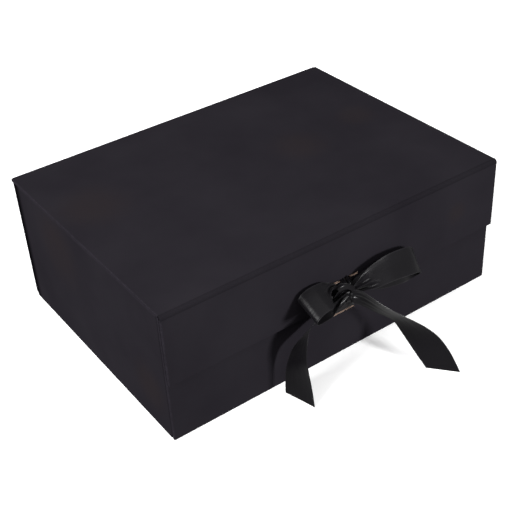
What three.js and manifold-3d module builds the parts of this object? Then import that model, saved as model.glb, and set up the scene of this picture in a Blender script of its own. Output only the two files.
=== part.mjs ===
// Fold-flat gift box with a hinged lid, a magnetic front flap and a ribbon tied in a bow.
// Frame: the origin is on the table under the middle of the box, +X runs along the front
// edge, -Y is the flap's side and +Z is up. Lengths are in millimetres.
import * as THREE from "three";
import { mergeVertices } from "three/addons/utils/BufferGeometryUtils.js";
import Module from "manifold-3d";

const wasm = await Module();
wasm.setup();

// Outside of the closed box
const LENGTH = 330;
const DEPTH = 246.5;
const HEIGHT = 122.3;
const FLAP_DROP = 64.5;

// Paper-wrapped boards
const LID_BOARD = 2.5;
const FLAP_BOARD = 2.5;
const WALL_BOARD = 2.5;
const BASE_BOARD = 2.5;
const TAB_BOARD = 1.0;
const PAPER = 0.3;

// Fits between the boards
const FLAP_GAP = 1.5; // flap's inner face to the front wall
const SIDE_INSET = 0.5; // side wall behind the lid's end
const LID_CLEAR = 0.3; // lid's liner to the wall tops
const LID_CREASE = 3.5; // board-free width at the lid's two folds
const CREASE_SKIN = 0.6; // thickness of the folded paper there
const CREASE_SINK = 0.2; // fold's face behind the corner
const CREASE_TRIM_DEG = 10; // fold stops this far short of the turning board
const BASE_CREASE = 1.5; // board-free width round the base
const BASE_CREASE_SKIN = 0.5;
const LINER_MARGIN = 4;
const LINER_LIFT = 0.5; // wall liners above the base liner

// Corner tabs and the tape behind them
const FRONT_CORNER_R = 1.2; // outside radius of a side wall's fold at its front end
const BACK_CORNER_R = 4.5; // and at its back end
const SPINE_INSET = 1.5; // spine's end behind the side wall's face
const TAB_REACH = 30;
const TAB_LIFT = 0.3;
const TAB_TAPER = 8;
const TAPE = 0.3;
const TAPE_MARGIN = 4;
const TAPE_END_MARGIN = 15;

// Magnets in the flap and steel keepers in the front wall
const MAGNET_R = 6;
const MAGNET_THICK = 1.4;
const KEEPER_THICK = 1.2;
const DISC_CLEAR = 0.15;
const MAGNET_X = 110;
const MAGNET_RISE = 14; // above the flap's lower edge

// Ribbon and its slots
const RIBBON_WIDTH = 25;
const RIBBON = 0.5;
const SLOT_END_CLEAR = 0.5;
const SLOT_HEIGHT = 2;
const FLAP_SLOT_RISE = 19.7; // above the flap's lower edge
const WALL_SLOT_FALL = 15.8; // below the flap's lower edge
const ANCHOR_LENGTH = 20;
const ANCHOR_POCKET = 0.8;
const BUNCHED = 11; // width of the gathered ribbon in the flap's slot
const SLOT_BEND = 0.7;
const FLAP_EDGE_CLEAR = 0.9; // lower ribbon's two halves, either side of the flap's edge

// Knot, relative to the flap's lower edge and outer face
const KNOT_X = -3;
const KNOT_RISE = 14.2;
const KNOT_OUT = 7.75;
const KNOT_SIZE = [6.5, 5, 6.5];
const KNOT_CLEAR = 0.4;
const LOOP_CLEAR = 3.25; // left loop's back edge to the flap

// Faces that the pieces share
const back = DEPTH / 2;
const front = -DEPTH / 2;
const flapInner = front + FLAP_BOARD;
const wallFront = flapInner + FLAP_GAP;
const wallInner = wallFront + WALL_BOARD;
const spineInner = back - WALL_BOARD;
const spineTop = HEIGHT - LID_CREASE;
const lidEnd = LENGTH / 2;
const wallEnd = lidEnd - SIDE_INSET;
const spineEnd = wallEnd - SPINE_INSET;
const sideInner = wallEnd - WALL_BOARD;
const lidUnder = HEIGHT - LID_BOARD;
const wallTop = lidUnder - PAPER - LID_CLEAR;
const flapBottom = HEIGHT - FLAP_DROP;
const flapTop = HEIGHT - LID_CREASE;
const sideFront = wallInner + PAPER + TAPE + FRONT_CORNER_R;
const sideBack = spineInner - PAPER - TAPE - BACK_CORNER_R;
const linerFloor = BASE_BOARD + PAPER;
const flapSlotZ = flapBottom + FLAP_SLOT_RISE;
const wallSlotZ = flapBottom - WALL_SLOT_FALL;
const magnetZ = flapBottom + MAGNET_RISE;
const slotHalf = RIBBON_WIDTH / 2 + SLOT_END_CLEAR;
const knot = new THREE.Vector3(KNOT_X, front - KNOT_OUT, flapBottom + KNOT_RISE);

const blackPaper = { color: 0x201f24, roughness: 0.72, metalness: 0 };
const linerPaper = { color: 0x232226, roughness: 0.85, metalness: 0 };
const satin = { color: 0x17181c, roughness: 0.35, metalness: 0 };
const tapeFilm = { color: 0xd8d4c4, roughness: 0.5, metalness: 0 };
const nickel = { color: 0xb9b9bb, roughness: 0.3, metalness: 1 };
const steel = { color: 0x8f9194, roughness: 0.45, metalness: 1 };

const box = new THREE.Group();

function addPiece(name, geometry, look) {
  const mesh = new THREE.Mesh(geometry, new THREE.MeshStandardMaterial(look));
  mesh.name = name;
  box.add(mesh);
}

// A block between two corners, with its faces exactly on the values given.
function block(x0, x1, y0, y1, z0, z1) {
  const geometry = new THREE.BoxGeometry(1, 1, 1);
  const p = geometry.attributes.position;
  for (let i = 0; i < p.count; i++) {
    p.setXYZ(i, p.getX(i) < 0 ? x0 : x1, p.getY(i) < 0 ? y0 : y1, p.getZ(i) < 0 ? z0 : z1);
  }
  return geometry;
}

function toSolid(geometry) {
  const bare = geometry.index ? geometry.toNonIndexed() : geometry.clone();
  bare.deleteAttribute("normal");
  bare.deleteAttribute("uv");
  const merged = mergeVertices(bare, 1e-4);
  const mesh = new wasm.Mesh({
    numProp: 3,
    vertProperties: merged.attributes.position.array,
    triVerts: new Uint32Array(merged.index.array),
  });
  return new wasm.Manifold(mesh);
}

function toGeometry(solid) {
  const mesh = solid.getMesh();
  const geometry = new THREE.BufferGeometry();
  geometry.setAttribute("position", new THREE.BufferAttribute(mesh.vertProperties, 3));
  geometry.setIndex(new THREE.BufferAttribute(mesh.triVerts, 1));
  geometry.computeVertexNormals();
  return geometry;
}

function cutFrom(geometry, cutters) {
  return toGeometry(cutters.reduce((left, cutter) => left.subtract(toSolid(cutter)), toSolid(geometry)));
}

// A round disc whose axis runs along Y.
function disc(radius, y0, y1, x, z) {
  const geometry = new THREE.CylinderGeometry(radius, radius, y1 - y0, 32);
  geometry.translate(x, (y0 + y1) / 2, z);
  return geometry;
}

// A profile drawn as [y, z] points, extruded along X.
function alongX(points, x0, x1) {
  const shape = new THREE.Shape(points.map(([y, z]) => new THREE.Vector2(y, z)));
  const geometry = new THREE.ExtrudeGeometry(shape, { depth: x1 - x0, bevelEnabled: false });
  geometry.rotateZ(Math.PI / 2);
  geometry.rotateY(Math.PI / 2);
  geometry.translate(x0, 0, 0);
  return geometry;
}

// A profile drawn as [x, z] points, extruded along Y.
function alongY(points, y0, y1) {
  const shape = new THREE.Shape(points.map(([x, z]) => new THREE.Vector2(x, -z)));
  const geometry = new THREE.ExtrudeGeometry(shape, { depth: y1 - y0, bevelEnabled: false });
  geometry.rotateX(-Math.PI / 2);
  geometry.translate(0, y0, 0);
  return geometry;
}

// A profile drawn as [x, y] points, extruded up Z.
function alongZ(points, z0, z1) {
  const shape = new THREE.Shape(points.map(([x, y]) => new THREE.Vector2(x, y)));
  const geometry = new THREE.ExtrudeGeometry(shape, { depth: z1 - z0, bevelEnabled: false });
  geometry.translate(0, 0, z0);
  return geometry;
}

function arc(cx, cy, radius, fromDeg, toDeg, steps) {
  const points = [];
  for (let i = 0; i <= steps; i++) {
    const angle = THREE.MathUtils.degToRad(fromDeg + ((toDeg - fromDeg) * i) / steps);
    points.push([cx + radius * Math.cos(angle), cy + radius * Math.sin(angle)]);
  }
  return points;
}

// A flat band through stations of centre, half width and the way the width runs, which is
// squared to the path apart from the share of slant that a station keeps for a slanted cut.
function band(stations, thickness = RIBBON) {
  const count = stations.length;
  const corners = [];
  stations.forEach(({ at, half, across, slant = 0 }, i) => {
    const before = stations[Math.max(i - 1, 0)].at;
    const after = stations[Math.min(i + 1, count - 1)].at;
    const along = after.clone().sub(before).normalize();
    const side = across.clone().addScaledVector(along, (slant - 1) * across.dot(along)).normalize();
    const out = along.clone().cross(side).normalize();
    for (const [s, t] of [[-1, -1], [1, -1], [1, 1], [-1, 1]]) {
      const corner = at.clone().addScaledVector(side, s * half);
      corners.push(corner.addScaledVector(out, (t * thickness) / 2));
    }
  });
  const faces = [];
  for (let i = 0; i < count - 1; i++) {
    for (let k = 0; k < 4; k++) {
      const a = 4 * i + k;
      const b = 4 * i + ((k + 1) % 4);
      // Both broad faces are split along the same diagonal, so that a twist keeps them apart.
      if (k === 2) faces.push(a, b, a + 4, b, b + 4, a + 4);
      else faces.push(a, b, b + 4, a, b + 4, a + 4);
    }
  }
  const last = 4 * (count - 1);
  faces.push(0, 2, 1, 0, 3, 2);
  faces.push(last, last + 1, last + 2, last, last + 2, last + 3);
  const geometry = new THREE.BufferGeometry().setFromPoints(corners);
  geometry.setIndex(faces);
  geometry.computeVertexNormals();
  return geometry;
}

// Stations on a smooth curve through hand-set points: [x, y, z, half width, across x, y, z, slant].
function smoothStations(points, steps) {
  const path = new THREE.CatmullRomCurve3(
    points.map((p) => new THREE.Vector3(p[0], p[1], p[2])), false, "centripetal");
  const stations = [];
  for (let i = 0; i <= steps; i++) {
    const t = i / steps;
    const place = t * (points.length - 1);
    const k = Math.min(Math.floor(place), points.length - 2);
    const f = place - k;
    const mix = (n) => points[k][n] * (1 - f) + points[k + 1][n] * f;
    stations.push({
      at: path.getPoint(t),
      half: mix(3),
      across: new THREE.Vector3(mix(4), mix(5), mix(6)),
      slant: mix(7),
    });
  }
  return stations;
}

// A ribbon run in the plane across the box's middle: [y, z, half width] stations.
function runInPlane(points) {
  return points.map(([y, z, half]) => ({
    at: new THREE.Vector3(0, y, z),
    half,
    across: new THREE.Vector3(1, 0, 0),
  }));
}

function buildBase() {
  const x = sideInner - BASE_CREASE;
  const y0 = wallInner + BASE_CREASE;
  const y1 = spineInner - BASE_CREASE;
  addPiece("base_panel", block(-x, x, y0, y1, 0, BASE_BOARD), blackPaper);
  const reach = PAPER + LINER_LIFT;
  addPiece("base_liner", block(-sideInner + reach, sideInner - reach,
    wallInner + reach, spineInner - reach, BASE_BOARD, linerFloor), linerPaper);
  addPiece("base_crease_front", block(-sideInner, sideInner, wallInner, y0,
    0, BASE_CREASE_SKIN), blackPaper);
  addPiece("base_crease_back", block(-sideInner, sideInner, y1, spineInner,
    0, BASE_CREASE_SKIN), blackPaper);
  addPiece("base_crease_left", block(-sideInner, -x, y0, y1, 0, BASE_CREASE_SKIN), blackPaper);
  addPiece("base_crease_right", block(x, sideInner, y0, y1, 0, BASE_CREASE_SKIN), blackPaper);
}

// The slot in a board, with the pocket behind it for the ribbon's glued end.
function slotCutters(outer, inner, slotZ, pocketUp) {
  const through = block(-slotHalf, slotHalf, outer - 1, inner + 1,
    slotZ - SLOT_HEIGHT / 2, slotZ + SLOT_HEIGHT / 2);
  const reach = ANCHOR_LENGTH + SLOT_HEIGHT;
  const low = pocketUp ? slotZ : slotZ - reach;
  const pocket = block(-slotHalf, slotHalf, inner - ANCHOR_POCKET, inner + 1, low, low + reach);
  return [through, pocket];
}

function discPockets(inner, thick) {
  return [-MAGNET_X, MAGNET_X].map((x) =>
    disc(MAGNET_R + DISC_CLEAR, inner - thick - DISC_CLEAR, inner + 1, x, magnetZ));
}

// Loose discs, one at each end of the front edge, under the liner of their board.
function addDiscs(name, inner, thick, look) {
  for (const [side, x] of [["left", -MAGNET_X], ["right", MAGNET_X]]) {
    const y1 = inner - DISC_CLEAR / 2;
    addPiece(name + "_" + side, disc(MAGNET_R, y1 - thick, y1, x, magnetZ), look);
  }
}

function buildFrontAndBack() {
  const wall = block(-wallEnd, wallEnd, wallFront, wallInner, 0, wallTop);
  const cutters = [
    ...slotCutters(wallFront, wallInner, wallSlotZ, false),
    ...discPockets(wallInner, KEEPER_THICK),
  ];
  addPiece("front_wall_panel", cutFrom(wall, cutters), blackPaper);
  addDiscs("keeper", wallInner, KEEPER_THICK, steel);
  addPiece("back_wall_panel", block(-spineEnd, spineEnd, spineInner, back, 0, spineTop), blackPaper);
  const xFront = wallEnd - FRONT_CORNER_R;
  const xBack = wallEnd - BACK_CORNER_R;
  const z0 = linerFloor + LINER_LIFT;
  addPiece("front_liner", block(-xFront, xFront, wallInner, wallInner + PAPER,
    z0, wallTop - LINER_MARGIN), linerPaper);
  addPiece("back_liner", block(-xBack, xBack, spineInner - PAPER, spineInner,
    z0, spineTop - LINER_MARGIN), linerPaper);
}

function buildSides() {
  const z0 = linerFloor + LINER_LIFT;
  for (const [side, s] of [["left", -1], ["right", 1]]) {
    const span = (a, b) => [Math.min(s * a, s * b), Math.max(s * a, s * b)];
    addPiece(side + "_wall_panel",
      block(...span(sideInner, wallEnd), sideFront, sideBack, 0, wallTop), blackPaper);
    addPiece(side + "_liner",
      block(...span(sideInner - PAPER, sideInner), sideFront + LINER_MARGIN, sideBack - LINER_MARGIN,
        z0, wallTop - LINER_MARGIN), linerPaper);
    for (const [end, t] of [["front", -1], ["back", 1]]) {
      buildTab(side + "_" + end, s, t);
    }
  }
}

// A side wall's folded end: round the corner, then flat against the tape on the next wall.
function buildTab(place, s, t) {
  const sideEnd = t < 0 ? sideFront : sideBack;
  const liner = t < 0 ? wallInner + PAPER : spineInner - PAPER;
  const radius = t < 0 ? FRONT_CORNER_R : BACK_CORNER_R;
  const cx = s * (wallEnd - radius);
  const tip = cx - s * TAB_REACH;
  const fromDeg = s < 0 ? 180 : 0;
  const turn = s * t * 90;
  const outer = arc(cx, sideEnd, radius, fromDeg, fromDeg + turn, 8);
  const inner = arc(cx, sideEnd, radius - TAB_BOARD, fromDeg + turn, fromDeg, 8);
  const face = sideEnd + t * radius;
  const profile = [...outer, [tip, face], [tip, face - t * TAB_BOARD], ...inner];
  if (s * t < 0) profile.reverse();
  const z0 = linerFloor + TAB_LIFT;
  const taper = [
    [tip - s, z0 - 1],
    [tip + s * TAB_TAPER, z0 - 1],
    [tip - s, z0 + TAB_TAPER + 1],
  ];
  const y0 = Math.min(face, face - t * TAB_BOARD) - 1;
  const cutters = [taper, taper.map(([x, z]) => [x, wallTop + z0 - z])].map((points) =>
    alongY(points, y0, y0 + TAB_BOARD + 2));
  addPiece("tab_" + place, cutFrom(alongZ(profile, z0, wallTop), cutters), blackPaper);
  const ends = [tip + s * TAPE_MARGIN, cx - s * TAPE_MARGIN].sort((a, b) => a - b);
  const faces = [liner, liner - t * TAPE].sort((a, b) => a - b);
  addPiece("tape_" + place, block(...ends, ...faces, TAPE_END_MARGIN, wallTop - TAPE_END_MARGIN), tapeFilm);
}

// The paper fold at a top corner, kept inside the circle that the turning board sweeps.
function creaseProfile(cornerY, s) {
  const cy = cornerY - s * LID_CREASE;
  const cz = HEIGHT - LID_CREASE;
  const radius = LID_CREASE - CREASE_SINK;
  const from = CREASE_TRIM_DEG;
  const to = 90 - CREASE_TRIM_DEG;
  const outer = arc(0, 0, radius, from, to, 10);
  const inner = arc(0, 0, radius - CREASE_SKIN, to, from, 10);
  const points = [...outer, ...inner].map(([y, z]) => [cy + s * y, cz + z]);
  return s < 0 ? points.reverse() : points;
}

function buildLid() {
  const y0 = front + LID_CREASE;
  const y1 = back - LID_CREASE;
  addPiece("lid_panel", block(-lidEnd, lidEnd, y0, y1, lidUnder, HEIGHT), blackPaper);
  addPiece("lid_liner", block(-lidEnd + LINER_MARGIN, lidEnd - LINER_MARGIN,
    y0 + LINER_MARGIN, y1 - LINER_MARGIN, lidUnder - PAPER, lidUnder), linerPaper);
  addPiece("lid_crease", alongX(creaseProfile(back, 1), -spineEnd, spineEnd), blackPaper);
  addPiece("flap_crease", alongX(creaseProfile(front, -1), -lidEnd, lidEnd), blackPaper);
}

function buildFlap() {
  const flap = block(-lidEnd, lidEnd, front, flapInner, flapBottom, flapTop);
  const cutters = [
    ...slotCutters(front, flapInner, flapSlotZ, true),
    ...discPockets(flapInner, MAGNET_THICK),
  ];
  addPiece("flap_panel", cutFrom(flap, cutters), blackPaper);
  addDiscs("magnet", flapInner, MAGNET_THICK, nickel);
  addPiece("flap_liner", block(-lidEnd + LINER_MARGIN, lidEnd - LINER_MARGIN,
    flapInner, flapInner + PAPER, flapBottom + LINER_MARGIN, flapTop - LINER_MARGIN), linerPaper);
}

// Ribbon that is glued inside a board, turns out through its slot and runs on outside.
function throughSlot(outer, inner, slotZ, up, wide, narrow) {
  const behind = inner - ANCHOR_POCKET / 2;
  const ahead = outer - SLOT_BEND;
  return [
    [behind, slotZ + up * ANCHOR_LENGTH, wide],
    [behind, slotZ + up * SLOT_BEND * 3, wide],
    [behind, slotZ + up * SLOT_BEND, narrow],
    [behind - SLOT_BEND * 0.3, slotZ + up * SLOT_BEND * 0.3, narrow],
    [behind - SLOT_BEND, slotZ, narrow],
    [ahead + SLOT_BEND, slotZ, narrow],
    [ahead + SLOT_BEND * 0.3, slotZ - up * SLOT_BEND * 0.3, narrow],
    [ahead, slotZ - up * SLOT_BEND, narrow],
  ];
}

function buildStraps() {
  const half = RIBBON_WIDTH / 2;
  const upper = throughSlot(front, flapInner, flapSlotZ, 1, half, BUNCHED / 2);
  const knotBack = knot.y + KNOT_SIZE[1] + KNOT_CLEAR + RIBBON;
  upper.push([knotBack, flapSlotZ - SLOT_BEND * 4, BUNCHED / 2]);
  addPiece("ribbon_upper_strap", band(runInPlane(upper)), satin);

  const lower = throughSlot(wallFront, wallInner, wallSlotZ, -1, half, half);
  const edge = front - SLOT_BEND * 2;
  lower.push([wallFront - SLOT_BEND, flapBottom - 4 * FLAP_EDGE_CLEAR, half]);
  lower.push([edge, flapBottom - FLAP_EDGE_CLEAR, half]);
  addPiece("ribbon_lower_strap", band(runInPlane(lower)), satin);

  const rise = [
    [edge, flapBottom + FLAP_EDGE_CLEAR, half],
    [edge, (flapBottom + knot.z) / 2 - KNOT_SIZE[2] / 2, half * 0.8],
    [knotBack, knot.z - KNOT_SIZE[2] * 0.6, BUNCHED / 2],
  ];
  addPiece("ribbon_lower_rise", band(runInPlane(rise)), satin);
}

function buildKnot() {
  const ball = new THREE.SphereGeometry(1, 16, 10);
  ball.scale(...KNOT_SIZE);
  ball.translate(knot.x, knot.y, knot.z);
  addPiece("ribbon_knot", ball, satin);
}

// Loops are set out from the knot.
function fromKnot(points) {
  return points.map(([x, y, z, ...rest]) => [knot.x + x, knot.y + y, knot.z + z, ...rest]);
}

// Tails start at the knot and end on the table: a point stands at a share of its start's height.
function toTable(points) {
  return points.map(([x, y, drop, share, ...rest]) =>
    [knot.x + x, knot.y + y, (knot.z - drop) * share, ...rest]);
}

function buildBow() {
  const h = RIBBON_WIDTH / 2;
  const lean = KNOT_OUT - LOOP_CLEAR - h;
  const leftLoop = [
    [-8, lean * 0.2, 3, 5, 0, -1, -0.1, 0],
    [-20, lean * 0.7, 11, 9, 0, -1, -0.1, 0],
    [-33, lean, 16, h, 0, -1, -0.1, 0],
    [-44, lean, 14, h, 0, -1, -0.2, 0],
    [-48, lean, 7, h, 0, -1, -0.2, 0],
    [-42, lean, 1, h, 0, -1, -0.1, 0],
    [-28, lean * 0.9, 0, h, 0, -1, -0.1, 0],
    [-16, lean * 0.5, -1, 8, 0, -1, -0.1, 0],
    [-8, lean * 0.1, -2, 5, 0, -1, -0.1, 0],
  ];
  addPiece("ribbon_loop_left", band(smoothStations(fromKnot(leftLoop), 32)), satin);
  const rightLoop = [
    [8, -2, 2, 4, 0, -0.7, -0.7, 0],
    [20, lean, 8, 9, 0, -0.8, -0.6, 0],
    [35, lean - 1.5, 10.5, h * 0.9, 0, -0.8, -0.6, 0],
    [54, lean - 1, 8, h * 0.9, 0, -0.75, -0.65, 0],
    [66, lean + 2, 2, h * 0.9, -0.1, -0.65, -0.75, 0],
    [70, lean + 6, -5, h * 0.9, 0, -0.45, -0.9, 0],
    [62, lean + 10, -9.5, h, 0.05, -0.2, -1, 0],
    [44, lean + 10.5, -7.5, h, 0, -0.2, -1, 0],
    [26, lean + 10, -3, 9, 0, -0.2, -1, 0],
    [9, 1, -1, 3, 0, -0.3, -1, 0],
  ];
  addPiece("ribbon_loop_right", band(smoothStations(fromKnot(rightLoop), 32)), satin);
  const leftTail = [
    [-7, -2, 7, 1, 4, 0.2, -0.3, -1, 0],
    [-22, -4, 10, 1, 8, 0.2, -0.4, -0.9, 0],
    [-37, -6, 12, 1, 11, 0.3, -0.7, -0.6, 0],
    [-51, -8, 12, 0.85, h, 0.2, -1, -0.4, 0],
    [-58, -10, 12, 0.62, h, 0.1, -1, -0.1, 0],
    [-60, -12, 12, 0.28, h, 0.1, -1, 0, 0.5],
    [-60, -13, 12, 0.007, h, 0.2, -1, 0, 1],
  ];
  addPiece("ribbon_tail_left", band(smoothStations(toTable(leftTail), 24)), satin);
  const rightTail = [
    [5, -6, 7, 1, 4, 0, -0.2, 1, 0],
    [12, -11, 11, 1, 8, -0.2, -0.4, 0.9, 0],
    [21, -17, 12, 0.87, h, -0.3, -0.5, 0.8, 0],
    [31, -22, 12, 0.71, h, -0.2, -0.6, 0.8, 0],
    [37, -30, 12, 0.57, h, 0, -0.6, 0.8, 0],
    [43, -39, 12, 0.42, h, 0.3, -0.45, 0.85, 0],
    [47, -47, 12, 0.25, h, 0.55, -0.5, 0.5, 0.4],
    [50.6, -58.2, 12, 0.007, h, 0.64, -0.77, 0, 1],
  ];
  addPiece("ribbon_tail_right", band(smoothStations(toTable(rightTail), 24)), satin);
}

buildBase();
buildFrontAndBack();
buildSides();
buildLid();
buildFlap();
buildStraps();
buildKnot();
buildBow();

export default box;
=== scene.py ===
# Fold-flat gift box in matte black paper, closed, with a black satin ribbon tied in a bow.
import math

import bmesh
import bpy
from mathutils import Matrix, Vector


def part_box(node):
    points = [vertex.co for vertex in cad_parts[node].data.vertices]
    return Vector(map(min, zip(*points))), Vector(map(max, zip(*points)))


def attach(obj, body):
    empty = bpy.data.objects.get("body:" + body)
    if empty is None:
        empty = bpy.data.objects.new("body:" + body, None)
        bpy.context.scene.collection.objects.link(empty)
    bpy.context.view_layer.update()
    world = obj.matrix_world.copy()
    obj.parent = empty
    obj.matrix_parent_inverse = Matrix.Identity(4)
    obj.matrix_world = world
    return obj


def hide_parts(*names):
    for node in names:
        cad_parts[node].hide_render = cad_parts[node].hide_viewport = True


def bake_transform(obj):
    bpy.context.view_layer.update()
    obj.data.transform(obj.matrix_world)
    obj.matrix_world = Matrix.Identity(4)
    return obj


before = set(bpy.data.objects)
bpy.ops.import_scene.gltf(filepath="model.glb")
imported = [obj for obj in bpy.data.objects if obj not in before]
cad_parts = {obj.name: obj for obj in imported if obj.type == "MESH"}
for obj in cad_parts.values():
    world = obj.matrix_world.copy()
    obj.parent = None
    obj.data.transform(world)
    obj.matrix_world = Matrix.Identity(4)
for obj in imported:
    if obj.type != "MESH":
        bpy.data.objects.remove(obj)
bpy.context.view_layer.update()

MM = 0.001


# ---------------------------------------------------------------- camera, lights and floor

CAMERA_AT = Vector((-0.4107, -0.6168, 0.5578))
CAMERA_YAW = math.radians(33.54)  # from +Y towards +X
CAMERA_PITCH = math.radians(35.28)  # below the horizon
CAMERA_ROLL = math.radians(-3.76)
CAMERA_LENS = 71.86


def place_camera():
    forward = Vector((
        math.sin(CAMERA_YAW) * math.cos(CAMERA_PITCH),
        math.cos(CAMERA_YAW) * math.cos(CAMERA_PITCH),
        -math.sin(CAMERA_PITCH),
    ))
    right = Vector((math.cos(CAMERA_YAW), -math.sin(CAMERA_YAW), 0))
    up = right.cross(forward)
    turned_right = math.cos(CAMERA_ROLL) * right + math.sin(CAMERA_ROLL) * up
    turned_up = math.cos(CAMERA_ROLL) * up - math.sin(CAMERA_ROLL) * right
    turn = Matrix((turned_right, turned_up, -forward)).transposed()
    data = bpy.data.cameras.new("camera")
    data.lens = CAMERA_LENS
    data.sensor_width = 36
    camera = bpy.data.objects.new("camera", data)
    bpy.context.scene.collection.objects.link(camera)
    camera.matrix_world = Matrix.Translation(CAMERA_AT) @ turn.to_4x4()
    bpy.context.scene.camera = camera


def area_light(name, at, aim, size, power):
    data = bpy.data.lights.new(name, "AREA")
    data.shape = "RECTANGLE"
    data.size, data.size_y = size
    data.energy = power
    lamp = bpy.data.objects.new(name, data)
    bpy.context.scene.collection.objects.link(lamp)
    lamp.location = at
    lamp.rotation_euler = (Vector(aim) - Vector(at)).to_track_quat("-Z", "Y").to_euler()


def light_studio():
    area_light("key_right", (0.60, -1.85, 0.62), (0, -0.12, 0.05), (0.32, 0.32), 50)
    area_light("key_front", (-0.28, -1.5, 1.45), (0, -0.12, 0.05), (0.3, 0.3), 3)
    area_light("top", (0.2, 0.5, 2.2), (0, 0, 0), (2.6, 2.6), 14)
    area_light("left_softbox", (-1.8, -0.1, 1.25), (0, 0, 0.05), (1.2, 1.2), 84)
    bpy.context.scene.world = soft_surroundings()
    bpy.context.scene.view_settings.view_transform = "Standard"


SKY_STRENGTH = 0.45
GROUND_STRENGTH = 0.36
HORIZON = (-0.25, 0.15)  # heights of the look direction between which the two blend


def soft_surroundings():
    """Even light from above the horizon and less from below it."""
    world = bpy.data.worlds.new("studio")
    world.use_nodes = True
    nodes, links = world.node_tree.nodes, world.node_tree.links
    way = nodes.new("ShaderNodeTexCoord")
    split = nodes.new("ShaderNodeSeparateXYZ")
    level = nodes.new("ShaderNodeMapRange")
    level.inputs["From Min"].default_value = HORIZON[0]
    level.inputs["From Max"].default_value = HORIZON[1]
    level.inputs["To Min"].default_value = GROUND_STRENGTH
    level.inputs["To Max"].default_value = SKY_STRENGTH
    links.new(way.outputs["Generated"], split.inputs["Vector"])
    links.new(split.outputs["Z"], level.inputs["Value"])
    nodes["Background"].inputs["Color"].default_value = (1, 1, 1, 1)
    links.new(level.outputs["Result"], nodes["Background"].inputs["Strength"])
    return world


FLOOR_SIZE = 8
FLOOR_DROP = 0.2 * MM  # keeps the floor's face off the box's underside
FLOOR_GLOW = 0.22  # lifts the floor to white, so that only close shadows show


def lay_floor():
    """A white floor that shows its shadows but throws no light back on the box."""
    bpy.ops.mesh.primitive_plane_add(size=FLOOR_SIZE, location=(0, 0, -FLOOR_DROP))
    floor = bpy.context.object
    floor.name = "studio_floor"
    floor.visible_diffuse = False
    floor.visible_glossy = False
    paint = bpy.data.materials.new("studio_floor")
    paint.use_nodes = True
    shader = paint.node_tree.nodes["Principled BSDF"]
    shader.inputs["Base Color"].default_value = (0.95, 0.95, 0.95, 1)
    shader.inputs["Roughness"].default_value = 0.9
    shader.inputs["Specular IOR Level"].default_value = 0.1
    shader.inputs["Emission Color"].default_value = (1, 1, 1, 1)
    shader.inputs["Emission Strength"].default_value = FLOOR_GLOW
    floor.data.materials.append(paint)


# ---------------------------------------------------------------- materials

class Finish:
    """A new material's shader and the few nodes that its pattern needs."""

    def __init__(self, name, **sockets):
        self.material = bpy.data.materials.new(name)
        self.material.use_nodes = True
        self.tree = self.material.node_tree
        self.shader = self.tree.nodes["Principled BSDF"]
        for socket, value in sockets.items():
            self.shader.inputs[socket.replace("_", " ")].default_value = value

    def node(self, kind, **settings):
        made = self.tree.nodes.new(kind)
        for key, value in settings.items():
            if key.startswith("in_"):
                made.inputs[key[3:].replace("_", " ")].default_value = value
            else:
                setattr(made, key, value)
        return made

    def join(self, source, target):
        self.tree.links.new(source, target)

    def object_place(self, scale=(1, 1, 1)):
        place = self.node("ShaderNodeTexCoord")
        sized = self.node("ShaderNodeMapping", in_Scale=scale)
        self.join(place.outputs["Object"], sized.inputs["Vector"])
        return sized.outputs["Vector"]

    def cloth_place(self, scale=(1, 1, 1)):
        place = self.node("ShaderNodeUVMap", uv_map="cloth")
        sized = self.node("ShaderNodeMapping", in_Scale=scale)
        self.join(place.outputs["UV"], sized.inputs["Vector"])
        return sized.outputs["Vector"]

    def noise(self, place, scale, detail=3.0, rough=0.5):
        made = self.node("ShaderNodeTexNoise", in_Scale=scale, in_Detail=detail, in_Roughness=rough)
        self.join(place, made.inputs["Vector"])
        return made.outputs["Fac"]

    def ramp(self, value, stops):
        made = self.node("ShaderNodeValToRGB")
        marks = made.color_ramp.elements
        while len(marks) < len(stops):
            marks.new(0.5)
        for mark, (position, colour) in zip(marks, stops):
            mark.position = position
            mark.color = colour if len(colour) == 4 else (*colour, 1)
        self.join(value, made.inputs["Fac"])
        return made.outputs["Color"]

    def math(self, operation, a, b, clamp=False):
        made = self.node("ShaderNodeMath", operation=operation, use_clamp=clamp)
        for socket, value in ((0, a), (1, b)):
            if isinstance(value, (int, float)):
                made.inputs[socket].default_value = value
            else:
                self.join(value, made.inputs[socket])
        return made.outputs[0]

    def blend_colours(self, share, a, b):
        made = self.node("ShaderNodeMix", data_type="RGBA", clamp_factor=True)
        for socket, value in (("Factor", share), ("A", a), ("B", b)):
            sockets = [i for i in made.inputs if i.name == socket and i.enabled]
            if isinstance(value, tuple):
                sockets[0].default_value = (*value, 1)
            elif isinstance(value, float):
                sockets[0].default_value = value
            else:
                self.join(value, sockets[0])
        return [o for o in made.outputs if o.enabled][0]

    def colour(self, source):
        self.join(source, self.shader.inputs["Base Color"])

    def roughness(self, source, low, high):
        made = self.node("ShaderNodeMapRange", in_To_Min=low, in_To_Max=high)
        self.join(source, made.inputs["Value"])
        self.join(made.outputs["Result"], self.shader.inputs["Roughness"])

    def bump(self, height, distance, strength=1.0, under=None):
        made = self.node("ShaderNodeBump", in_Distance=distance, in_Strength=strength)
        self.join(height, made.inputs["Height"])
        if under:
            self.join(under, made.inputs["Normal"])
        self.join(made.outputs["Normal"], self.shader.inputs["Normal"])
        return made.outputs["Normal"]


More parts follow.
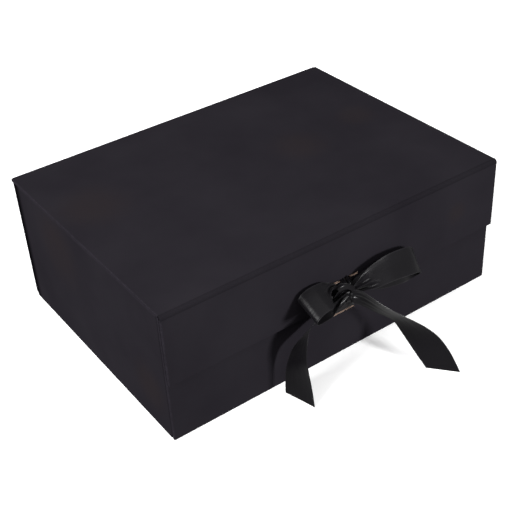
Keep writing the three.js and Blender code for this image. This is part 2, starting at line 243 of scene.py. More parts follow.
PAPER_DARK = (0.0113, 0.0101, 0.0128)
PAPER_LIGHT = (0.0143, 0.0129, 0.0159)
PAPER_SMUDGE = (0.0162, 0.0128, 0.0136)
PAPER_WORN = (0.0158, 0.0140, 0.0180)
PAPER_IN_SHADE = (0.0012, 0.0011, 0.0013)
# painted shade: the folds' paper colour is multiplied by this factor
FOLD_SHADE_TONE = 0.70
SMUDGE_SHARE = 0.6
PAINTED_SHADE_START = 105 * MM  # along the side walls, where the painted shade towards the back corners starts
PAINTED_SHADE_END = 116 * MM
SMUDGES = (
    ((-129, 36, 122), 42),
    ((56, 5, 122), 34),
    ((128, 15, 122), 24),
    ((-164, 45, 88), 44),
    ((-164, -90, 37), 30),
    ((121, -123, 88), 14),
)


def near_marks(f, place):
    """1 near the handling marks and 0 away from them. Each mark is (centre, reach) in mm.

    A mark is full to a fifth of its reach and fades out from there.
    """
    total = 0.0
    for centre, reach in SMUDGES:
        away = f.node("ShaderNodeVectorMath", operation="DISTANCE")
        f.join(place, away.inputs[0])
        away.inputs[1].default_value = [v * MM for v in centre]
        soft = f.node("ShaderNodeMapRange", interpolation_type="SMOOTHSTEP")
        soft.inputs["From Min"].default_value = reach * MM
        soft.inputs["From Max"].default_value = 0.2 * reach * MM
        f.join(away.outputs["Value"], soft.inputs["Value"])
        total = f.math("MAXIMUM", soft.outputs["Result"], total)
    return total


def black_paper(name="black_paper", tone=1.0, painted_shade_end=False):
    """Matte laminated black paper: fine tooth, slow mottling, faint handling marks, rubbed edges.

    tone darkens the paper; on the folds that darkening is painted shade. With a shaded end, the paper fades
    to near black towards the box's back corners: painted shade.
    """
    f = Finish(name, Specular_IOR_Level=0.0)
    place = f.object_place()
    dark, light = ([tone * v for v in colour] for colour in (PAPER_DARK, PAPER_LIGHT))
    base = f.ramp(f.noise(place, 14, 4, 0.55), [(0.3, dark), (0.7, light)])
    patches = f.math("ADD", f.noise(f.object_place((1.0, 0.55, 1.0)), 24, 2, 0.4), 0.25)
    marks = f.math("MULTIPLY", near_marks(f, place), patches, clamp=True)
    smudged = f.blend_colours(f.math("MULTIPLY", marks, SMUDGE_SHARE), base, PAPER_SMUDGE)
    worn = f.node("ShaderNodeAttribute", attribute_name="worn")
    rub = f.ramp(f.noise(place, 160, 3, 0.6), [(0.35, (0.15, 0.15, 0.15)), (0.65, (1, 1, 1))])
    share = f.math("MULTIPLY", worn.outputs["Fac"], rub, clamp=True)
    paper = f.blend_colours(share, smudged, PAPER_WORN)
    # painted shade: the paper fades to near black towards the back corners, in place of the shade there
    if painted_shade_end:
        split = f.node("ShaderNodeSeparateXYZ")
        f.join(place, split.inputs["Vector"])
        turned = f.node("ShaderNodeMapRange", interpolation_type="SMOOTHSTEP")
        turned.inputs["From Min"].default_value = PAINTED_SHADE_START
        turned.inputs["From Max"].default_value = PAINTED_SHADE_END
        f.join(split.outputs["Y"], turned.inputs["Value"])
        paper = f.blend_colours(turned.outputs["Result"], paper, PAPER_IN_SHADE)
    f.colour(paper)
    f.roughness(f.noise(place, 60, 5, 0.6), 0.50, 0.66)
    under = f.bump(f.noise(place, 22, 2, 0.4), 0.00035, 0.5)
    f.bump(f.noise(place, 2600, 2, 0.5), 0.00004, 0.5, under)
    return f.material


def liner_paper():
    """Uncoated black lining paper, a little greyer, with short fibres."""
    f = Finish("liner_paper", Specular_IOR_Level=0.2)
    place = f.object_place()
    fibres = f.noise(f.object_place((1.0, 0.25, 1.0)), 900, 4, 0.7)
    base = f.ramp(fibres, [(0.35, (0.012, 0.0118, 0.0128)), (0.7, (0.020, 0.0196, 0.0210))])
    slow = f.ramp(f.noise(place, 9, 3, 0.5), [(0.3, (0.8, 0.8, 0.8)), (0.7, (1, 1, 1))])
    tone = f.node("ShaderNodeMix", data_type="RGBA", blend_type="MULTIPLY")
    ins = [i for i in tone.inputs if i.enabled]
    ins[0].default_value = 1.0
    f.join(base, ins[1])
    f.join(slow, ins[2])
    f.colour([o for o in tone.outputs if o.enabled][0])
    f.roughness(fibres, 0.72, 0.9)
    f.bump(fibres, 0.00005, 0.6)
    return f.material


def bare_board():
    """Cut greyboard: warm brown, layered along the sheet."""
    f = Finish("bare_board", Roughness=0.85, Specular_IOR_Level=0.15)
    layers = f.noise(f.object_place((1, 6, 1)), 700, 3, 0.6)
    f.colour(f.ramp(layers, [(0.3, (0.30, 0.20, 0.155)), (0.7, (0.50, 0.37, 0.30))]))
    f.bump(layers, 0.00008, 0.8)
    return f.material


SATIN_DARK = (0.0027, 0.0024, 0.0031)
SATIN_LIGHT = (0.0050, 0.0045, 0.0056)
SATIN_ROUGHNESS = (0.24, 0.38)
RIBBON_WIDTH = 25 * MM
SELVEDGE = 0.9 * MM
SELVEDGE_COLOUR = (0.011, 0.010, 0.012)
THREAD = 0.28 * MM


def satin():
    """Polyester satin: long floats along the ribbon, a fine rib across it, a firm selvedge at each side."""
    f = Finish(
        "satin_ribbon",
        Specular_IOR_Level=0.14,
        Anisotropic=0.55,
        Sheen_Weight=0.04,
        Sheen_Roughness=0.4,
    )
    tangent = f.node("ShaderNodeTangent", direction_type="UV_MAP", uv_map="cloth")
    f.join(tangent.outputs["Tangent"], f.shader.inputs["Tangent"])
    floats = f.noise(f.cloth_place((1 / THREAD, 0.12 / THREAD, 1)), 1.0, 2, 0.5)
    ribs = f.node(
        "ShaderNodeTexWave", wave_type="BANDS", bands_direction="Y", in_Scale=1.0, in_Distortion=0.6)
    f.join(f.cloth_place((0.05 / THREAD, 0.32 / THREAD, 1)), ribs.inputs["Vector"])
    weave = f.math("ADD", f.math("MULTIPLY", floats, 0.6), f.math("MULTIPLY", ribs.outputs["Fac"], 0.4))
    split = f.node("ShaderNodeSeparateXYZ")
    f.join(f.cloth_place(), split.inputs["Vector"])
    across = f.math("DIVIDE", split.outputs["X"], RIBBON_WIDTH)
    from_middle = f.math("ABSOLUTE", f.math("SUBTRACT", across, 0.5), 0.0)
    from_edge = f.math("SUBTRACT", 0.5, from_middle)
    selvedge = f.ramp(from_edge, [(0.0, (1, 1, 1)), (SELVEDGE / RIBBON_WIDTH, (0, 0, 0))])
    base = f.ramp(weave, [(0.3, SATIN_DARK), (0.75, SATIN_LIGHT)])
    f.colour(f.blend_colours(f.math("MULTIPLY", selvedge, 0.6), base, SELVEDGE_COLOUR))
    patches = f.noise(f.cloth_place((60, 25, 1)), 1.0, 2, 0.5)
    f.roughness(f.math("ADD", patches, f.math("MULTIPLY", selvedge, 0.5)), *SATIN_ROUGHNESS)
    creases = f.noise(f.cloth_place((260, 45, 1)), 1.0, 3, 0.5)
    under = f.bump(creases, 0.0006, 0.35)
    f.bump(weave, 0.00003, 0.45, under)
    return f.material


def tape_film():
    f = Finish("tape_film", Specular_IOR_Level=0.5)
    streaks = f.noise(f.object_place((1, 1, 0.1)), 300, 3, 0.5)
    f.colour(f.ramp(streaks, [(0.3, (0.50, 0.47, 0.40)), (0.7, (0.62, 0.60, 0.53))]))
    f.roughness(streaks, 0.3, 0.5)
    f.bump(streaks, 0.00004, 0.5)
    return f.material


def plated(name, dark, light):
    f = Finish(name, Metallic=1.0)
    turned = f.noise(f.object_place((1, 1, 6)), 800, 4, 0.6)
    f.colour(f.ramp(turned, [(0.3, dark), (0.7, light)]))
    f.roughness(turned, 0.22, 0.42)
    f.bump(turned, 0.00002, 0.5)
    return f.material


BLACK_PAPER = black_paper()
# a darker copy of the paper for the folds: painted shade
SHADED_FOLD_PAPER = black_paper("fold_paper_painted_shade", tone=FOLD_SHADE_TONE)
# side-wall paper with painted shade, near black towards the back corners
SIDE_PAPER = black_paper("side_paper", painted_shade_end=True)
LINER_PAPER = liner_paper()
BARE_BOARD = bare_board()
SATIN = satin()


# ---------------------------------------------------------------- help for modelling

def start_block(name, low, high):
    """A cube at its size and place, in edit mode with nothing selected."""
    bpy.ops.object.select_all(action="DESELECT")
    centre = (Vector(low) + Vector(high)) / 2
    bpy.ops.mesh.primitive_cube_add(size=1, location=centre)
    piece = bpy.context.object
    piece.name = name
    piece.data.name = name
    piece.scale = Vector(high) - Vector(low)
    bpy.ops.object.transform_apply(location=True, rotation=False, scale=True)
    bpy.ops.object.mode_set(mode="EDIT")
    bpy.ops.mesh.select_all(action="DESELECT")
    return piece


def end_piece(piece, smooth_angle=35):
    bpy.ops.mesh.select_all(action="SELECT")
    bpy.ops.mesh.remove_doubles(threshold=1e-6)
    bpy.ops.mesh.normals_make_consistent(inside=False)
    bpy.ops.object.mode_set(mode="OBJECT")
    bpy.ops.object.shade_smooth_by_angle(angle=math.radians(smooth_angle))
    piece.select_set(False)


def pick(piece, mode, chosen):
    """Selects the vertices, edges or faces for which chosen says yes."""
    bpy.ops.mesh.select_mode(type=mode)
    bpy.ops.mesh.select_all(action="DESELECT")
    mesh = bmesh.from_edit_mesh(piece.data)
    parts = {"VERT": mesh.verts, "EDGE": mesh.edges, "FACE": mesh.faces}[mode]
    count = 0
    for part in parts:
        if chosen(part):
            part.select_set(True)
            count += 1
    mesh.select_flush_mode()
    bmesh.update_edit_mesh(piece.data)
    return count


def middle(part):
    total = Vector((0, 0, 0))
    for vertex in part.verts:
        total += vertex.co
    return total / len(part.verts)


def near(a, b, reach=1e-5):
    return abs(a - b) < reach


def round_edges(piece, radius, chosen, segments=4):
    if pick(piece, "EDGE", chosen):
        bpy.ops.mesh.bevel(
            offset=radius, offset_type="OFFSET", segments=segments, profile=0.5, clamp_overlap=True)


def cut_margins(low, high, margin, folds):
    """Cuts a narrow margin along every edge, which holds the wear to it."""
    for axis in range(3):
        if high[axis] - low[axis] < 4 * margin:
            continue
        for end, at in ((0, low[axis] + margin), (1, high[axis] - margin)):
            if (axis, end) in folds:
                continue
            place, normal = [0, 0, 0], [0, 0, 0]
            place[axis], normal[axis] = at, 1
            bpy.ops.mesh.select_all(action="SELECT")
            bpy.ops.mesh.bisect(plane_co=place, plane_no=normal)


def mark_wear(piece, low, high, folds):
    """Writes 1 at the rounded outer edges and 0 elsewhere. folds are the sides that run on into a fold."""
    values = []
    for vertex in piece.data.vertices:
        sides = 0
        for axis in range(3):
            if near(vertex.co[axis], low[axis], WEAR_REACH) and (axis, 0) not in folds:
                sides += 1
            elif near(vertex.co[axis], high[axis], WEAR_REACH) and (axis, 1) not in folds:
                sides += 1
        values.append(1.0 if sides > 1 else 0.0)
    worn = piece.data.attributes.new("worn", "FLOAT", "POINT")
    worn.data.foreach_set("value", values)


EDGE_RADIUS = 0.55 * MM
WEAR_REACH = 0.9 * MM
WEAR_MARGIN = 1.1 * MM
SLOT_WIDTH = 26 * MM
SLOT_HEIGHT = 2 * MM


def wrapped_board(name, node, body, folds=(), slot_z=None, paper=BLACK_PAPER):
    """A board wrapped in paper, its edges rounded but for the sides that run on into a fold."""
    low, high = (Vector(corner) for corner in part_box(node))
    piece = start_block(name, low, high)

    def on_fold(point):
        return any(near(point[axis], (low, high)[end][axis]) for axis, end in folds)

    cut_margins(low, high, WEAR_MARGIN, folds)
    if slot_z is not None:
        cut_slot(piece, low, high, slot_z)

    def outer_edge(edge):
        point = middle(edge)
        along = edge.verts[1].co - edge.verts[0].co
        sides = sum(
            near(point[axis], low[axis]) or near(point[axis], high[axis])
            for axis in range(3)
            if abs(along[axis]) < 1e-7
        )
        return sides == 2 and not on_fold(point)

    round_edges(piece, EDGE_RADIUS, outer_edge)
    end_piece(piece)
    mark_wear(piece, low, high, folds)
    piece.data.materials.append(paper)
    if slot_z is not None:
        piece.data.materials.append(BARE_BOARD)
        for face in piece.data.polygons:
            at = face.center
            inside = abs(at.x) < SLOT_WIDTH / 2 + 1e-5 and abs(at.z - slot_z) < SLOT_HEIGHT / 2 + 1e-5
            if inside and low.y + 1e-4 < at.y < high.y - 1e-4:
                face.material_index = 1
    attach(piece, body)
    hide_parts(node)
    return piece


def cut_slot(piece, low, high, slot_z):
    """Cuts the two broad faces round the slot and bridges them, which opens it through the board."""
    cuts = [
        ((-SLOT_WIDTH / 2, 0, 0), (1, 0, 0)),
        ((SLOT_WIDTH / 2, 0, 0), (1, 0, 0)),
        ((0, 0, slot_z - SLOT_HEIGHT / 2), (0, 0, 1)),
        ((0, 0, slot_z + SLOT_HEIGHT / 2), (0, 0, 1)),
    ]
    for at, normal in cuts:
        bpy.ops.mesh.select_all(action="SELECT")
        bpy.ops.mesh.bisect(plane_co=at, plane_no=normal)

    def slot_face(face):
        at = middle(face)
        across = near(at.y, low.y) or near(at.y, high.y)
        return across and abs(at.x) < SLOT_WIDTH / 2 and abs(at.z - slot_z) < SLOT_HEIGHT / 2

    pick(piece, "FACE", slot_face)
    bpy.ops.mesh.bridge_edge_loops()


# ---------------------------------------------------------------- boards, folds and tabs

def node_box(node):
    return tuple(Vector(corner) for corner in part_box(node))


FOLD_RADIUS = 3.5 * MM
FOLD_SKIN = 0.6 * MM


def fold_strip(name, node, centre, start_angle, end_angle, span):
    """A paper hinge: the skin's end face spun round the fold's centre, seen from the box's left."""
    turn = end_angle - start_angle
    out = Vector((0, math.cos(start_angle), math.sin(start_angle)))
    mid = Vector(centre) + out * (FOLD_RADIUS - FOLD_SKIN / 2)
    bpy.ops.object.select_all(action="DESELECT")
    bpy.ops.mesh.primitive_plane_add(size=1, location=(0, 0, 0))
    piece = bpy.context.object
    piece.name = name
    piece.data.name = name
    x_low, x_high = span
    x_mid = (x_low + x_high) / 2
    for vertex in piece.data.vertices:
        flat = vertex.co.copy()
        along = Vector((x_mid, 0, 0)) + Vector((flat.x * (x_high - x_low), 0, 0))
        vertex.co = along + mid + out * flat.y * FOLD_SKIN
    bpy.ops.object.mode_set(mode="EDIT")
    bpy.ops.mesh.select_all(action="SELECT")
    bpy.ops.mesh.spin(steps=12, angle=-turn, center=centre, axis=(1, 0, 0), dupli=False)
    end_piece(piece, 30)
    # painted shade: the fold is darker than the flat paper next to it
    piece.data.materials.append(SHADED_FOLD_PAPER)
    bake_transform(piece)
    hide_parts(node)
    return piece


FLAP_SLOT_RISE = 19.7 * MM
WALL_SLOT_FALL = 15.8 * MM


def make_boards():
    flap_bottom = node_box("flap_panel")[0].z
    wrapped_board("lid_board", "lid_panel", "lid", folds=((1, 0), (1, 1)))
    wrapped_board("flap_board", "flap_panel", "flap", folds=((2, 1),), slot_z=flap_bottom + FLAP_SLOT_RISE)
    wrapped_board("front_wall", "front_wall_panel", "tray", slot_z=flap_bottom - WALL_SLOT_FALL)
    wrapped_board("spine", "back_wall_panel", "tray", folds=((2, 1),))
    # the side walls carry the painted shade towards the back corners
    wrapped_board("left_wall", "left_wall_panel", "tray", folds=((1, 0), (1, 1)), paper=SIDE_PAPER)
    wrapped_board("right_wall", "right_wall_panel", "tray", folds=((1, 0), (1, 1)), paper=SIDE_PAPER)
    wrapped_board("base_board", "base_panel", "tray")


def make_folds():
    low, high = node_box("lid_panel")
    top = high.z
    flap_front = node_box("flap_panel")[0].y
    spine_low, spine_high = node_box("back_wall_panel")
    fold_strip(
        "lid_fold", "lid_crease", (0, spine_high.y - FOLD_RADIUS, top - FOLD_RADIUS), 0, math.pi / 2,
        (spine_low.x, spine_high.x),
    )
    fold_strip(
        "flap_fold", "flap_crease", (0, flap_front + FOLD_RADIUS, top - FOLD_RADIUS), math.pi / 2, math.pi,
        (low.x, high.x),
    )


TAB_BOARD = 1.0 * MM
TAB_TAPER = 8 * MM


def make_tab(side, end):
    """A side wall's folded end: its end face spun round the corner, then drawn out along the next wall."""
    node = "tab_" + side + "_" + end
    low, high = node_box(node)
    s = -1 if side == "left" else 1
    t = -1 if end == "front" else 1
    outer = low.x if s < 0 else high.x
    tip = high.x if s < 0 else low.x
    wall_low, wall_high = node_box(side + "_wall_panel")
    wall_end = wall_low.y if t < 0 else wall_high.y
    corner = abs((low.y if t < 0 else high.y) - wall_end)
    centre_x = outer - s * corner
    bpy.ops.object.select_all(action="DESELECT")
    bpy.ops.mesh.primitive_plane_add(size=1, location=(0, 0, 0))
    piece = bpy.context.object
    piece.name = "corner_" + node
    for vertex in piece.data.vertices:
        flat = vertex.co.copy()
        vertex.co = Vector((
            outer - s * TAB_BOARD * (0.5 + flat.x),
            wall_end,
            low.z + (high.z - low.z) * (0.5 + flat.y),
        ))
    bpy.ops.object.mode_set(mode="EDIT")
    bpy.ops.mesh.select_all(action="SELECT")
    bpy.ops.mesh.spin(
        steps=10, angle=-s * t * math.pi / 2, center=(centre_x, wall_end, 0), axis=(0, 0, 1), dupli=False)
    run = abs(tip - centre_x)
    for length, drawn_in in ((run - TAB_TAPER, 0), (TAB_TAPER, TAB_TAPER)):
        bpy.ops.mesh.extrude_region_move(TRANSFORM_OT_translate={"value": (-s * length, 0, 0)})
        if drawn_in:
            tall = high.z - low.z
            bpy.ops.transform.resize(
                value=(1, 1, (tall - 2 * drawn_in) / tall),
                center_override=(tip, wall_end, (low.z + high.z) / 2),
            )
    end_piece(piece, 30)
    # painted shade: the back tabs are near black, also inside the open box
    piece.data.materials.append(SIDE_PAPER)
    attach(piece, "tray")
    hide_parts(node)


# ---------------------------------------------------------------- ribbon

STRIP_THICK = 0.25 * MM
BEAD_THICK = 0.34 * MM
BEAD_WIDTH = 0.7 * MM
COLUMNS = 30
DEEPEST_FOLD = 6 * MM


def smooth_rows(stations, rows):
    """Even rows along the stations' smooth path. A station is a flat list of numbers, its two edges first."""
    mids = [Vector(((s[0] + s[3]) / 2, (s[1] + s[4]) / 2, (s[2] + s[5]) / 2)) for s in stations]
    marks = [0.0]
    for a, b in zip(mids, mids[1:]):
        marks.append(marks[-1] + max((b - a).length, 1e-6))
    count = len(stations)
    slopes = []
    for i in range(count):
        before, after = max(i - 1, 0), min(i + 1, count - 1)
        gap = marks[after] - marks[before]
        slopes.append([(q - p) / gap for p, q in zip(stations[before], stations[after])])
    made = []
    piece = 0
    for row in range(rows + 1):
        at = marks[-1] * row / rows
        while piece < count - 2 and at > marks[piece + 1]:
            piece += 1
        gap = marks[piece + 1] - marks[piece]
        x = (at - marks[piece]) / gap
        h00, h10 = 2 * x**3 - 3 * x**2 + 1, x**3 - 2 * x**2 + x
        h01, h11 = 3 * x**2 - 2 * x**3, x**3 - x**2
        made.append([
            h00 * p + h10 * gap * m + h01 * q + h11 * gap * n
            for p, q, m, n in zip(stations[piece], stations[piece + 1], slopes[piece], slopes[piece + 1])
        ])
    return made


def across_marks(columns):
    bead = BEAD_WIDTH / RIBBON_WIDTH
    inner = [bead + (1 - 2 * bead) * i / columns for i in range(columns + 1)]
    return [0.0, bead / 2] + inner + [1 - bead / 2, 1.0]


def wave(u, pleats):
    return sum(weight * math.sin(2 * math.pi * turns * u + phase) for weight, turns, phase in pleats)


def fold_depth(chord, width, marks, pleats):
    """The wave's height that gathers a ribbon of that width into the chord."""
    if chord >= width * 0.999:
        return 0.0

    def length(depth):
        points = [(u * chord, depth * wave(u, pleats)) for u in marks]
        return sum(math.dist(a, b) for a, b in zip(points, points[1:]))

    low, high = 0.0, DEEPEST_FOLD
    for _ in range(24):
        trial = (low + high) / 2
        if length(trial) < width:
            low = trial
        else:
            high = trial
    return low


def ribbon(name, body, node, stations, pleats, rows=110, cut=(0.0, 1.0), width=RIBBON_WIDTH):
    """A strip of satin. Each station is (edge, edge, crown, share of gathering) in mm from the knot's centre.

    cut is the share of the strip's length that this piece keeps.
    """
    flat = [[v * MM for v in (*a, *b, crown)] + [share] for a, b, crown, share in stations]
    lines = smooth_rows(flat, rows)
    first, last = round(cut[0] * rows), round(cut[1] * rows)
    lines = lines[first:last + 1]
    marks = across_marks(COLUMNS)
    grid = []
    for i, line in enumerate(lines):
        a, b = KNOT + Vector(line[0:3]), KNOT + Vector(line[3:6])
        crown, share = line[6], max(line[7], 0.0)
        before, after = lines[max(i - 1, 0)], lines[min(i + 1, len(lines) - 1)]
        ahead = Vector(after[0:3]) + Vector(after[3:6])
        along = (ahead - Vector(before[0:3]) - Vector(before[3:6])).normalized()
        across = b - a
        normal = across.cross(along).normalized()
        depth = share * fold_depth(across.length, width, marks, pleats)
        row = []
        for u in marks:
            lift = crown * 4 * u * (1 - u) + depth * wave(u, pleats)
            row.append(a + across * u + normal * lift)
        grid.append(row)
    return finish_strip(name, body, node, grid, marks, width)


def finish_strip(name, body, node, grid, marks, width):
    rows, columns = len(grid), len(marks)
    run = [0.0]
    for i in range(1, rows):
        steps = [(grid[i][j] - grid[i - 1][j]).length for j in (0, columns // 2, columns - 1)]
        run.append(run[-1] + sum(steps) / 3)
    mesh = bpy.data.meshes.new(name)
    shell = bmesh.new()
    cloth = shell.loops.layers.uv.new("cloth")
    sides = []
    for sign in (1, -1):
        side = []
        for i in range(rows):
            line = []
            for j in range(columns):
                down = grid[min(i + 1, rows - 1)][j] - grid[max(i - 1, 0)][j]
                over = grid[i][min(j + 1, columns - 1)] - grid[i][max(j - 1, 0)]
                normal = over.cross(down).normalized()
                rim = j < 2 or j > columns - 3
                thick = BEAD_THICK if rim else STRIP_THICK
                line.append(shell.verts.new(grid[i][j] + normal * sign * thick / 2))
            side.append(line)
        sides.append(side)
    top, under = sides
    places = {}
    for side in sides:
        for i in range(rows):
            for j in range(columns):
                places[side[i][j]] = (marks[j] * width, run[i])

    def face(*corners):
        made = shell.faces.new(corners)
        made.smooth = True
        for loop in made.loops:
            loop[cloth].uv = places[loop.vert]

    for i in range(rows - 1):
        for j in range(columns - 1):
            face(top[i][j], top[i][j + 1], top[i + 1][j + 1], top[i + 1][j])
            face(under[i][j], under[i + 1][j], under[i + 1][j + 1], under[i][j + 1])
        face(top[i][0], top[i + 1][0], under[i + 1][0], under[i][0])
        face(top[i][-1], under[i][-1], under[i + 1][-1], top[i + 1][-1])
    for j in range(columns - 1):
        face(top[0][j], under[0][j], under[0][j + 1], top[0][j + 1])
        face(top[-1][j], top[-1][j + 1], under[-1][j + 1], under[-1][j])
    bmesh.ops.recalc_face_normals(shell, faces=shell.faces)
    shell.to_mesh(mesh)
    shell.free()
    piece = bpy.data.objects.new(name, mesh)
    bpy.context.scene.collection.objects.link(piece)
    bpy.ops.object.select_all(action="DESELECT")
    bpy.context.view_layer.objects.active = piece
    piece.select_set(True)
    bpy.ops.object.shade_smooth_by_angle(angle=math.radians(60))
    piece.select_set(False)
    mesh.materials.append(SATIN)
    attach(piece, body)
    if node:
        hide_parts(node)
    return piece


KNOT_IN_STATIONS = (-3, -131, 72)  # the knot's centre, in the mm that the stations are written in


def from_knot(point):
    return tuple(value - knot for value, knot in zip(point, KNOT_IN_STATIONS))


def edges(rows):
    """Stations of a strip: its two edges, how far its middle is crowned, and its share of gathering."""
    return [(from_knot(a), from_knot(b), crown, share) for a, b, crown, share in rows]


LOOSE_PLEATS = ((0.62, 2, 0.6), (0.38, 3, 2.1))
TIGHT_PLEATS = ((0.55, 2.5, 0.2), (0.45, 4, 1.3))
ONE_FOLD = ((1.0, 0.5, 0.0),)

LEFT_LOOP = edges([
    ((-5, -129.5, 75), (-5, -132, 74), 0, 0.5),
    ((-11.5, -128, 80), (-12, -131.5, 78), 0, 0.5),
    ((-17.5, -126.9, 84.3), (-19.5, -133, 82), 0, 0.45),
    ((-22.5, -126.6, 87), (-25, -137.5, 81.4), 0.3, 0.35),
    ((-27, -126.7, 88.4), (-29, -144.5, 80.4), 0.6, 0.15),
    ((-31.5, -126.8, 88.8), (-33.5, -150.3, 81.2), 0.4, 0),
    ((-37, -126.8, 88.8), (-38, -151.5, 82), 0.2, 0),
    ((-44, -127, 87.4), (-45, -152, 80.6), 0, 0),
    ((-48, -127, 84.6), (-49.2, -152, 77.8), 0, 0),
    ((-49.2, -127.3, 81.6), (-50.6, -151.8, 75), 0, 0),
    ((-46.8, -127.8, 78.6), (-48.6, -151.5, 73.2), 0, 0),
    ((-41.5, -128, 76.4), (-42.5, -151, 72.6), 0, 0),
    ((-34, -128.3, 73.2), (-34, -149.5, 72.2), 0, 0.1),
    ((-23, -128.8, 71.3), (-24, -143.5, 70.3), 0, 0.4),
    ((-13, -129, 70.5), (-13, -136.5, 69.5), 0, 0.7),
    ((-5, -129.5, 70.5), (-5, -133.5, 69.5), 0, 0.5),
])

RIGHT_LOOP = edges([
    ((0.5, -132, 75), (0.5, -134.5, 70), 0, 0.5),
    ((7.6, -132, 79.2), (8, -139, 71), 0, 0.7),
    ((13.6, -132, 83.4), (13.5, -144.5, 73.5), 0, 0.35),
    ((21.1, -132, 86.3), (20, -148, 76), -0.8, 0.08),
    ((33.2, -131.8, 88.5), (31, -149.5, 76.5), -1.2, 0),
    ((45, -131.5, 88), (44, -149.5, 74.5), -1.2, 0),
    ((55.1, -131.2, 86.4), (54.5, -148.5, 71.8), -0.6, 0),
    ((61, -130.8, 84.5), (60.5, -146, 68), 0, 0),
    ((66.5, -129.5, 79.5), (64, -142, 63.5), 0, 0),
    ((67.5, -127.5, 76), (68, -137.5, 58.5), 0, 0),
    ((66, -126.2, 75), (68, -133.5, 54), 0, 0),
    ((62, -125.6, 75), (64, -131, 51), 0, 0),
    ((56, -125.3, 74.5), (57, -130, 49.7), 0, 0),
    ((43, -125.3, 77), (42, -130, 52.5), 0, 0),
    ((30, -125.5, 79), (27, -130, 57.3), 0, 0.1),
    ((20, -126.5, 79), (20, -130.8, 62), 0, 0.4),
    ((9, -128, 77), (9, -131.5, 67), 0, 0.7),
    ((1, -129.5, 75), (1, -132, 69.5), 0, 0.5),
])

RIGHT_TAIL = edges([
    ((-3.5, -134.5, 62.5), (-3.5, -135, 73), 0, 0.3),
    ((-3.1, -136.5, 62), (-2.3, -136.5, 74.7), 1.0, 0.25),
    ((3.2, -137.5, 57.5), (1.5, -141, 74.5), 1.2, 0.2),
    ((10.5, -139, 51.5), (6, -146.5, 70.4), 1.0, 0.15),
    ((17.3, -141, 45.5), (10.5, -151.5, 65.4), 0.8, 0.1),
    ((24.9, -143.5, 39.4), (16.9, -156.8, 59), 0.8, 0),
    ((32.1, -146.5, 31.9), (26.1, -161.8, 50.8), 1.2, 0),
    ((34.3, -154, 23.9), (34.2, -168.2, 44.4), 1.5, 0),
    ((35.7, -163.5, 15.1), (42.9, -174.2, 36.5), 1.2, 0),
    ((36.9, -171.5, 8), (50.3, -180.2, 27.1), 0.6, 0),
    ((38, -175.5, 3.8), (54.2, -189.5, 15.5), 0.2, 0),
    ((38.9, -178.6, 0.3), (56.3, -199.7, 0.4), 0, 0),
])

LEFT_TAIL = edges([
    ((-5, -131.5, 66), (-5, -132.5, 73), 0, 0.6),
    ((-13, -131, 60), (-16, -135, 72.5), 0, 0.8),
    ((-24, -129.5, 56), (-30, -138.5, 71.5), 0, 0.5),
    ((-36, -127.8, 51.8), (-47, -142.2, 67.5), 0, 0.1),
    ((-46, -129, 47.8), (-54, -145.8, 64.8), 0.3, 0),
    ((-52.6, -129.5, 45), (-57, -148.2, 61.2), 0.6, 0),
    ((-58, -130, 41.7), (-59.2, -150, 56.6), 0.9, 0),
    ((-62.6, -130, 34), (-60.8, -151.2, 46.8), 1.2, 0),
    ((-65.6, -130, 23.6), (-60.2, -152, 34.4), 1.2, 0),
    ((-66.7, -130, 12.5), (-59.3, -154.5, 18), 0.8, 0),
    ((-67, -130, 0.3), (-59.7, -158.2, 0.4), 0.2, 0),
])

LOWER_STRAND = edges([
    ((-12.5, -117.2, 42.7), (12.5, -117.2, 42.7), 0, 0),
    ((-12.5, -119.4, 42.8), (12.5, -119.4, 42.8), 0, 0),
    ((-13, -121.6, 47), (10, -121.3, 47.5), 0.3, 0.15),
    ((-14.5, -125.3, 53), (7.5, -124.5, 53), 0.5, 0.2),
    ((-16, -128.5, 59.5), (5, -127.5, 58.5), 0.5, 0.25),
    ((-16.5, -130, 66), (2.5, -129.5, 64), 0.5, 0.3),
    ((-14, -130.5, 71), (0.5, -130, 68), 0.3, 0.4),
    ((-8, -130, 73), (-2, -129.8, 70), 0, 0.5),
])

UPPER_STRAND = edges([
    ((-5.5, -121.2, 77.5), (5.5, -121.2, 77.5), 0, 0.9),
    ((-5.5, -123.6, 77.6), (5.5, -123.6, 77.6), 0, 0.9),
    ((-6.5, -127, 77.6), (4, -126.8, 77.6), 0, 0.9),
    ((-7.5, -130, 76.4), (2, -129.8, 76), 0, 0.9),
    ((-6.5, -132, 74), (0.5, -131.5, 73.5), 0, 0.9),
])

WRAP = edges([
    ((-6.5, -129, 68), (1.5, -129, 68), 0, 0.4),
    ((-7, -130.5, 72.5), (1.5, -130.5, 72), 0, 0.4),
    ((-7, -133, 72.6), (1.6, -132.8, 71.8), 0, 0.4),
    ((-6.5, -134, 69), (1.5, -134, 68.5), 0, 0.4),
    ((-6, -133.6, 64), (1.2, -133.4, 63.6), 0, 0.4),
    ((-6, -131.5, 61.2), (1.2, -131, 61.2), 0, 0.4),
    ((-6, -128.5, 64), (1.2, -128.5, 64), 0, 0.4),
])

NECK_FOLD = edges([
    ((-9, -132, 77.5), (-6.5, -132.5, 77), 0, 0.3),
    ((-14.5, -131.5, 75), (-6, -133, 74), 0, 0.6),
    ((-17.8, -131, 70.5), (-6.2, -133.2, 69), 1.0, 0.6),
    ((-17, -130.5, 65.5), (-6.5, -132.5, 64), 0.5, 0.6),
    ((-13.5, -129.5, 60.5), (-8, -131, 59.5), 0, 0.6),
    ((-11, -128.5, 57.5), (-9, -129.5, 57), 0, 0.3),
])

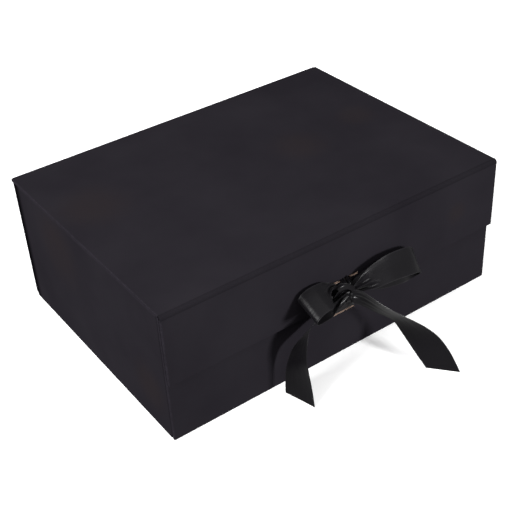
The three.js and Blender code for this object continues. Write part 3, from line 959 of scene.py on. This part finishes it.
TOP_FOLD = edges([
    ((-15.8, -131, 80), (-15, -134, 77.5), 0, 0.6),
    ((-11.5, -130.5, 81.5), (-10.5, -135, 78.5), 0, 0.75),
    ((-7.5, -130.5, 80.5), (-6.5, -135.5, 77), 0, 0.75),
    ((-3.5, -131, 77), (-2.8, -136, 73.5), 0, 0.75),
    ((-1, -132, 74), (-1, -136, 71), 0, 0.6),
])


FLAP_EDGE = 0.43  # share of the lower strand's length that lies below the flap's edge
WRAP_WIDTH = 12 * MM  # ribbon folded double lengthwise
TOP_FOLD_WIDTH = 10 * MM


def tie_bow():
    ribbon("ribbon_left_loop", "flap", "ribbon_loop_left", LEFT_LOOP, LOOSE_PLEATS, rows=130)
    ribbon("ribbon_right_loop", "flap", "ribbon_loop_right", RIGHT_LOOP, LOOSE_PLEATS, rows=150)
    ribbon("ribbon_left_tail", "flap", "ribbon_tail_left", LEFT_TAIL, TIGHT_PLEATS)
    ribbon("ribbon_right_tail", "flap", "ribbon_tail_right", RIGHT_TAIL, TIGHT_PLEATS)
    ribbon("ribbon_wrap", "flap", "ribbon_knot", WRAP, LOOSE_PLEATS, rows=60, width=WRAP_WIDTH)
    ribbon("ribbon_neck_fold", "flap", None, NECK_FOLD, ONE_FOLD, rows=60, width=WRAP_WIDTH)
    ribbon("ribbon_top_fold", "flap", None, TOP_FOLD, ONE_FOLD, rows=50, width=TOP_FOLD_WIDTH)
    ribbon("ribbon_upper_strand", "flap", "ribbon_upper_strap", UPPER_STRAND, TIGHT_PLEATS, rows=40)
    ribbon(
        "ribbon_lower_strand", "tray", "ribbon_lower_strap", LOWER_STRAND, LOOSE_PLEATS,
        rows=70, cut=(0, FLAP_EDGE))
    ribbon(
        "ribbon_lower_lift", "flap", "ribbon_lower_rise", LOWER_STRAND, LOOSE_PLEATS,
        rows=70, cut=(FLAP_EDGE, 1))


# ---------------------------------------------------------------- the box

knot_low, knot_high = node_box("ribbon_knot")
KNOT = (knot_low + knot_high) / 2


def finish_small_parts():
    tape = tape_film()
    nickel = plated("magnet_nickel", (0.55, 0.53, 0.50), (0.72, 0.70, 0.67))
    steel = plated("keeper_steel", (0.42, 0.42, 0.43), (0.60, 0.60, 0.61))
    for name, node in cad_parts.items():
        look = None
        if "liner" in name:
            look = LINER_PAPER
        elif name.startswith("base_crease"):
            look = BLACK_PAPER
        elif name.startswith("tape"):
            look = tape
        elif name.startswith("magnet"):
            look = nickel
        elif name.startswith("keeper"):
            look = steel
        if look:
            node.data.materials.clear()
            node.data.materials.append(look)


place_camera()
light_studio()
lay_floor()
make_boards()
make_folds()
for side in ("left", "right"):
    for end in ("front", "back"):
        make_tab(side, end)
finish_small_parts()
tie_bow()
